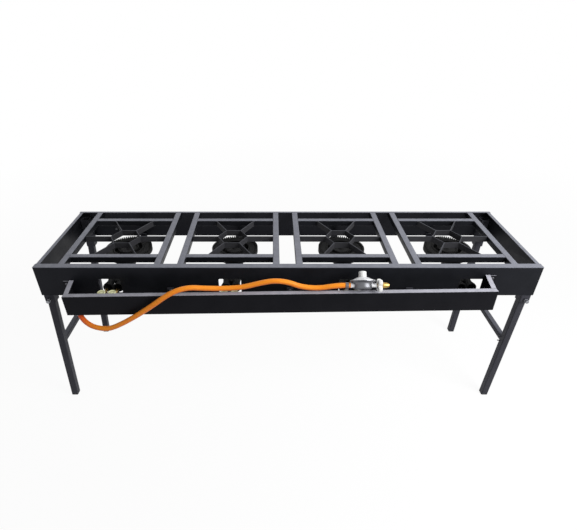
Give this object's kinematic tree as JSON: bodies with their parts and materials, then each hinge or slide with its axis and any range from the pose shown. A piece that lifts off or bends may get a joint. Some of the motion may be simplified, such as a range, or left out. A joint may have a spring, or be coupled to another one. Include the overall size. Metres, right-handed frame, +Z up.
{
  "type": "gas boiling table",
  "caption": "Long low gas boiling table on square tube legs: open pot bays over cast-iron ring burners, a guarded row of brass taps, and an orange hose to a low-pressure regulator.",
  "frame": {"origin": "on the floor, under the middle of the table's box with the guard and without the hose", "axes": "+X along the table to the right as seen from the front, -Y out of the front, +Z up"},
  "size_m": [1.524, 0.4875, 0.5691],
  "materials": {
    "black_paint": "semi-matt",
    "cast_iron": "rough black",
    "zinc_steel": "zinc plated",
    "brass": "machined",
    "black_rubber": "matt",
    "orange_rubber": "satin",
    "die_cast_zinc": "die cast",
    "white_plastic": "moulded"
  },
  "bodies": {
    "table": {"front_panel": "black_paint", "back_panel": "black_paint", "left_end_panel": "black_paint", "right_end_panel": "black_paint", "leg_sockets": "black_paint", "leg_front_left": "black_paint", "leg_front_right": "black_paint", "leg_back_left": "black_paint", "leg_back_right": "black_paint", "leg_brace_left": "black_paint", "leg_brace_right": "black_paint", "burner_bearers": "black_paint", "gas_pipe": "black_paint", "pipe_brackets": "black_paint", "guard_rail": "black_paint", "guard_end_left": "black_paint", "guard_end_right": "black_paint", "pot_bars_1": "black_paint", "pot_bars_2": "black_paint", "pot_bars_3": "black_paint", "pot_bars_4": "black_paint", "pot_ring_1": "black_paint", "pot_ring_2": "black_paint", "pot_ring_3": "black_paint", "pot_ring_4": "black_paint", "burner_body_1": "cast_iron", "burner_body_2": "cast_iron", "burner_body_3": "cast_iron", "burner_body_4": "cast_iron", "burner_cap_1": "cast_iron", "burner_cap_2": "cast_iron", "burner_cap_3": "cast_iron", "burner_cap_4": "cast_iron", "burner_inner_caps": "cast_iron", "leg_clamp_bolts": "zinc_steel", "leg_clamp_nuts": "zinc_steel", "burner_bolts": "zinc_steel", "panel_screws": "zinc_steel", "pipe_plug": "zinc_steel", "hose_clips": "zinc_steel", "tap_bodies": "brass", "gas_jets": "brass", "hose_nipple": "brass", "regulator_nozzle": "brass", "foot_caps": "black_rubber", "gas_hose": "orange_rubber", "regulator_body": "die_cast_zinc", "regulator_bonnet": "die_cast_zinc"},
    "knob_1": {"tap_knob_1": "brass"},
    "knob_2": {"tap_knob_2": "brass"},
    "knob_3": {"tap_knob_3": "brass"},
    "knob_4": {"tap_knob_4": "brass"},
    "knob_5": {"tap_knob_5": "brass"},
    "knob_6": {"tap_knob_6": "brass"},
    "knob_7": {"tap_knob_7": "brass"},
    "knob_8": {"tap_knob_8": "brass"},
    "hand_nut": {"regulator_hand_nut": "white_plastic"},
    "adjuster_cap": {"regulator_cap": "white_plastic"}
  },
  "joints": [
    {"name": "tap_1_turn", "type": "hinge", "parent": "table", "child": "knob_1", "pos_m": [-0.5365, -0.199, 0.482], "axis": [0, 0, 1], "range_deg": [0, 270]},
    {"name": "tap_2_turn", "type": "hinge", "parent": "table", "child": "knob_2", "pos_m": [-0.5055, -0.199, 0.482], "axis": [0, 0, 1], "range_deg": [0, 270]},
    {"name": "tap_3_turn", "type": "hinge", "parent": "table", "child": "knob_3", "pos_m": [-0.1765, -0.199, 0.482], "axis": [0, 0, 1], "range_deg": [0, 270]},
    {"name": "tap_4_turn", "type": "hinge", "parent": "table", "child": "knob_4", "pos_m": [-0.1455, -0.199, 0.482], "axis": [0, 0, 1], "range_deg": [0, 270]},
    {"name": "tap_5_turn", "type": "hinge", "parent": "table", "child": "knob_5", "pos_m": [0.1835, -0.199, 0.482], "axis": [0, 0, 1], "range_deg": [0, 270]},
    {"name": "tap_6_turn", "type": "hinge", "parent": "table", "child": "knob_6", "pos_m": [0.2145, -0.199, 0.482], "axis": [0, 0, 1], "range_deg": [0, 270]},
    {"name": "tap_7_turn", "type": "hinge", "parent": "table", "child": "knob_7", "pos_m": [0.5435, -0.199, 0.482], "axis": [0, 0, 1], "range_deg": [0, 270]},
    {"name": "tap_8_turn", "type": "hinge", "parent": "table", "child": "knob_8", "pos_m": [0.5745, -0.199, 0.482], "axis": [0, 0, 1], "range_deg": [0, 270]},
    {"name": "hand_nut_spin", "type": "hinge", "parent": "table", "child": "hand_nut", "pos_m": [0.223, -0.2212, 0.53267], "axis": [1, 0, 0], "continuous": true},
    {"name": "adjuster_cap_turn", "type": "hinge", "parent": "table", "child": "adjuster_cap", "pos_m": [0.223, -0.20644, 0.54965], "axis": [0, 0.6561, 0.7547], "continuous": true}
  ]
}
